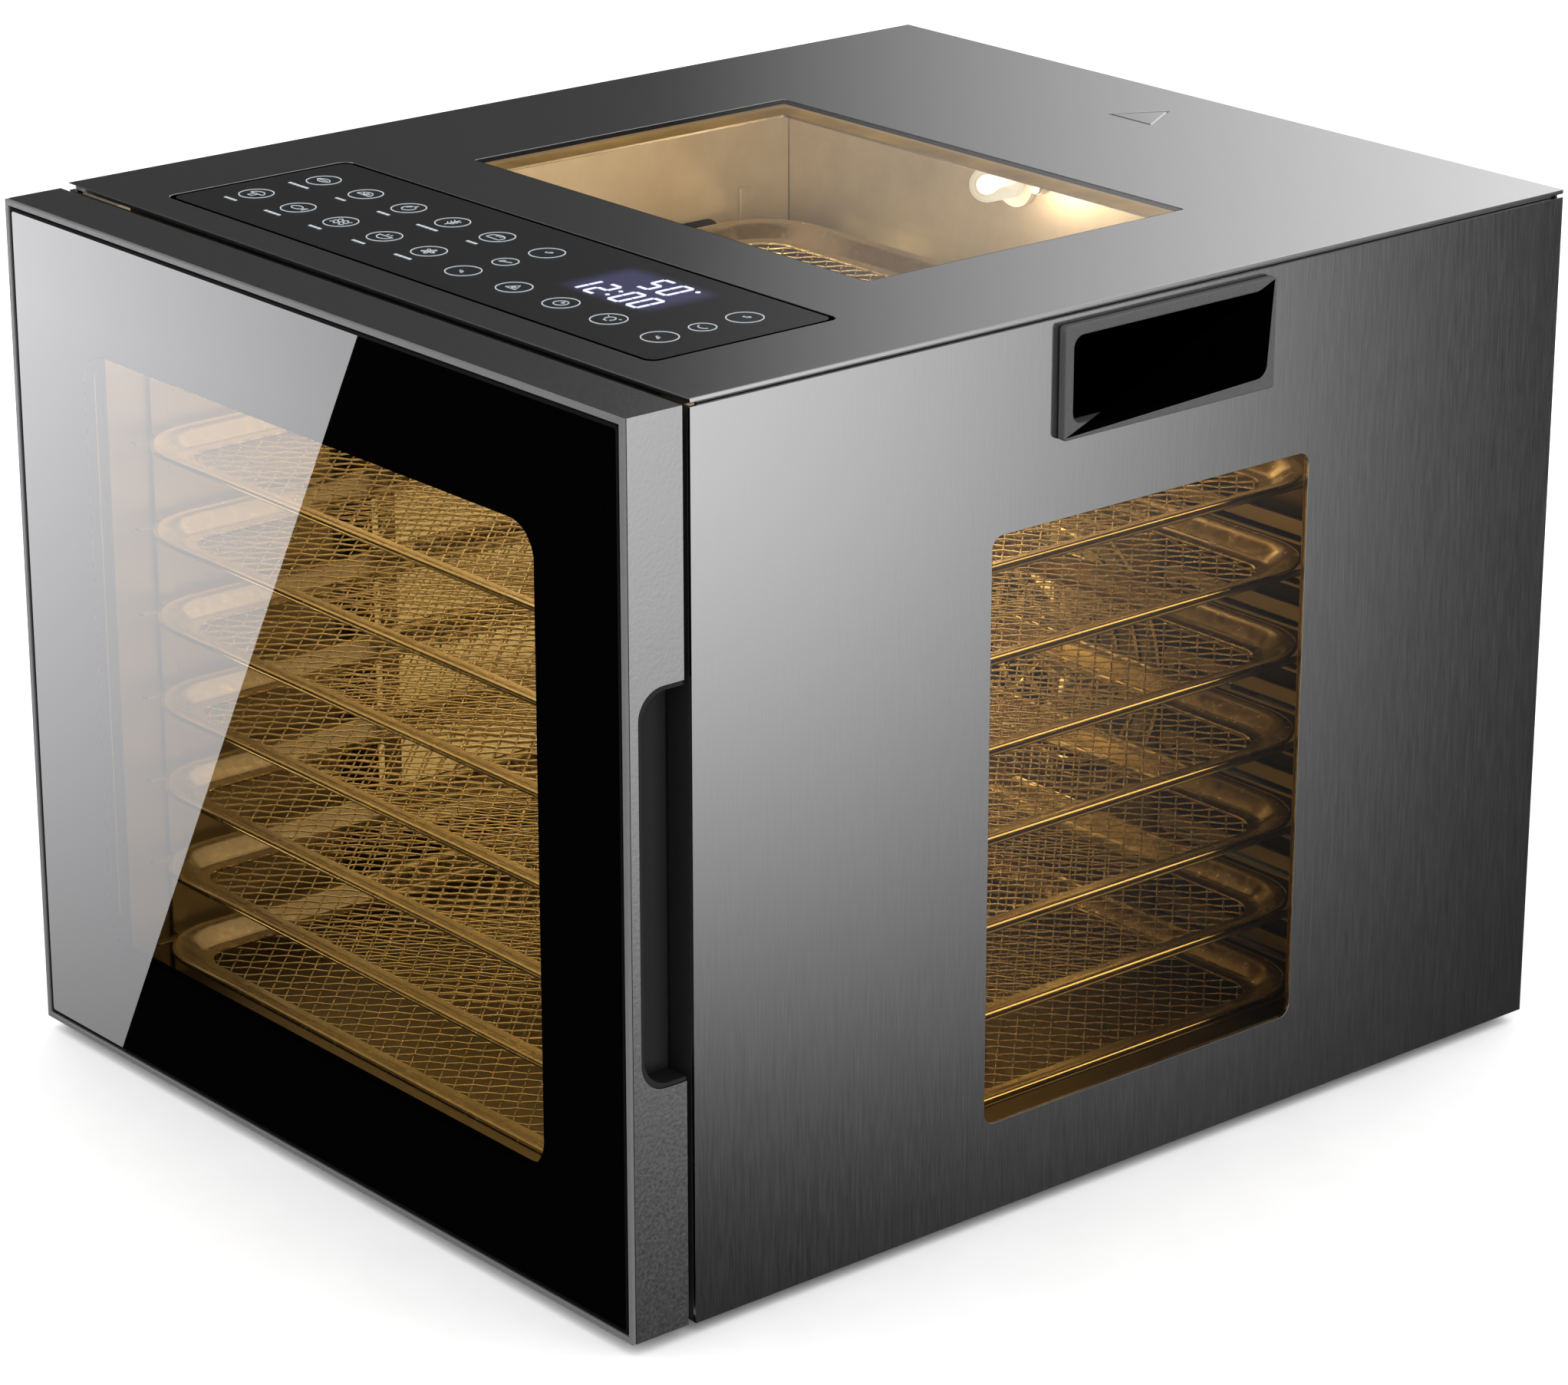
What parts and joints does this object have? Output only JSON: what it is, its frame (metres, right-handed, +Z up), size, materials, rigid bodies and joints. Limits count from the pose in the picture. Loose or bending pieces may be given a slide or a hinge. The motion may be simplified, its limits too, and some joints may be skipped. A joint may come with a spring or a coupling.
{
  "type": "food dehydrator",
  "caption": "Box-shaped countertop food dehydrator with a side-hinged glass door, viewing windows, sliding mesh trays, a rear fan and a touch panel on top.",
  "frame": {"origin": "on the floor under the feet, at the middle of the overall box", "axes": "+X to the right seen from the front, the door faces -Y, +Z up"},
  "size_m": [0.352, 0.419, 0.315],
  "materials": {
    "black_steel": "dark brushed stainless steel, satin",
    "black_paint": "black satin powder coat",
    "liner_steel": "bright rolled stainless steel",
    "tray_steel": "polished stainless steel",
    "mesh_steel": "stainless steel mesh",
    "zinc_steel": "zinc plated steel",
    "window_glass": "clear tempered glass",
    "door_glass": "tinted tempered glass with a black printed border",
    "panel_glass": "gloss black touch panel",
    "frame_paint": "grey hammered paint",
    "bezel_metal": "satin aluminium",
    "grey_plastic": "textured dark grey plastic",
    "black_plastic": "fine textured black plastic",
    "seal_rubber": "black silicone",
    "board": "green circuit board",
    "marks": "printed marks lit from behind, emissive",
    "digits": "lit display figures, emissive",
    "lamp_ceramic": "white ceramic",
    "lamp_glass": "lit clear glass, emissive",
    "heater": "heat tinted sheathed element",
    "motor": "dark grey motor shell",
    "fan_alu": "pressed aluminium",
    "magnet": "plated magnet"
  },
  "bodies": {
    "cabinet": {"base_pan": "black_paint", "side_panel_right": "black_steel", "side_panel_left": "black_steel", "top_cover": "black_steel", "rear_cover": "black_paint", "front_frame": "black_paint", "liner_right": "liner_steel", "liner_left": "liner_steel", "liner_ceiling": "liner_steel", "liner_floor": "liner_steel", "fan_baffle": "liner_steel", "fan_guard": "tray_steel", "tray_rails": "liner_steel", "tray_posts": "liner_steel", "top_window_glass": "window_glass", "side_window_glass_right": "window_glass", "side_window_glass_left": "window_glass", "top_window_seal": "seal_rubber", "side_window_seals": "seal_rubber", "handle_pocket_right": "grey_plastic", "handle_pocket_left": "grey_plastic", "control_glass": "panel_glass", "control_housing": "black_plastic", "control_board": "board", "key_marks": "marks", "display_digits": "digits", "lamp_base": "lamp_ceramic", "lamp_bulb": "lamp_glass", "heater_coil": "heater", "fan_motor": "motor", "motor_bracket": "zinc_steel", "power_inlet": "black_plastic", "feet": "seal_rubber", "screws": "zinc_steel", "hinge_brackets": "zinc_steel"},
    "door": {"door_frame": "frame_paint", "door_glass": "door_glass", "door_bezel": "bezel_metal", "door_grip": "black_plastic", "door_gasket": "seal_rubber", "door_magnets": "magnet"},
    "fan": {"fan_wheel": "fan_alu", "fan_shaft": "zinc_steel"},
    "tray_1": {"tray_rim_1": "tray_steel", "tray_mesh_1": "mesh_steel"},
    "tray_2": {"tray_rim_2": "tray_steel", "tray_mesh_2": "mesh_steel"},
    "tray_3": {"tray_rim_3": "tray_steel", "tray_mesh_3": "mesh_steel"},
    "tray_4": {"tray_rim_4": "tray_steel", "tray_mesh_4": "mesh_steel"},
    "tray_5": {"tray_rim_5": "tray_steel", "tray_mesh_5": "mesh_steel"},
    "tray_6": {"tray_rim_6": "tray_steel", "tray_mesh_6": "mesh_steel"},
    "tray_7": {"tray_rim_7": "tray_steel", "tray_mesh_7": "mesh_steel"},
    "tray_8": {"tray_rim_8": "tray_steel", "tray_mesh_8": "mesh_steel"}
  },
  "joints": [
    {"name": "door_hinge", "type": "hinge", "parent": "cabinet", "child": "door", "pos_m": [-0.166, -0.196, 0], "axis": [0, 0, -1], "range_deg": [0, 110]},
    {"name": "fan_spin", "type": "hinge", "parent": "cabinet", "child": "fan", "pos_m": [0, 0.16, 0.118], "axis": [0, 1, 0], "continuous": true},
    {"name": "tray_slide_1", "type": "slide", "parent": "cabinet", "child": "tray_1", "axis": [0, -1, 0], "range_m": [0, 0.02]},
    {"name": "tray_slide_2", "type": "slide", "parent": "cabinet", "child": "tray_2", "axis": [0, -1, 0], "range_m": [0, 0.02]},
    {"name": "tray_slide_3", "type": "slide", "parent": "cabinet", "child": "tray_3", "axis": [0, -1, 0], "range_m": [0, 0.02]},
    {"name": "tray_slide_4", "type": "slide", "parent": "cabinet", "child": "tray_4", "axis": [0, -1, 0], "range_m": [0, 0.02]},
    {"name": "tray_slide_5", "type": "slide", "parent": "cabinet", "child": "tray_5", "axis": [0, -1, 0], "range_m": [0, 0.02]},
    {"name": "tray_slide_6", "type": "slide", "parent": "cabinet", "child": "tray_6", "axis": [0, -1, 0], "range_m": [0, 0.02]},
    {"name": "tray_slide_7", "type": "slide", "parent": "cabinet", "child": "tray_7", "axis": [0, -1, 0], "range_m": [0, 0.02]},
    {"name": "tray_slide_8", "type": "slide", "parent": "cabinet", "child": "tray_8", "axis": [0, -1, 0], "range_m": [0, 0.02]}
  ]
}
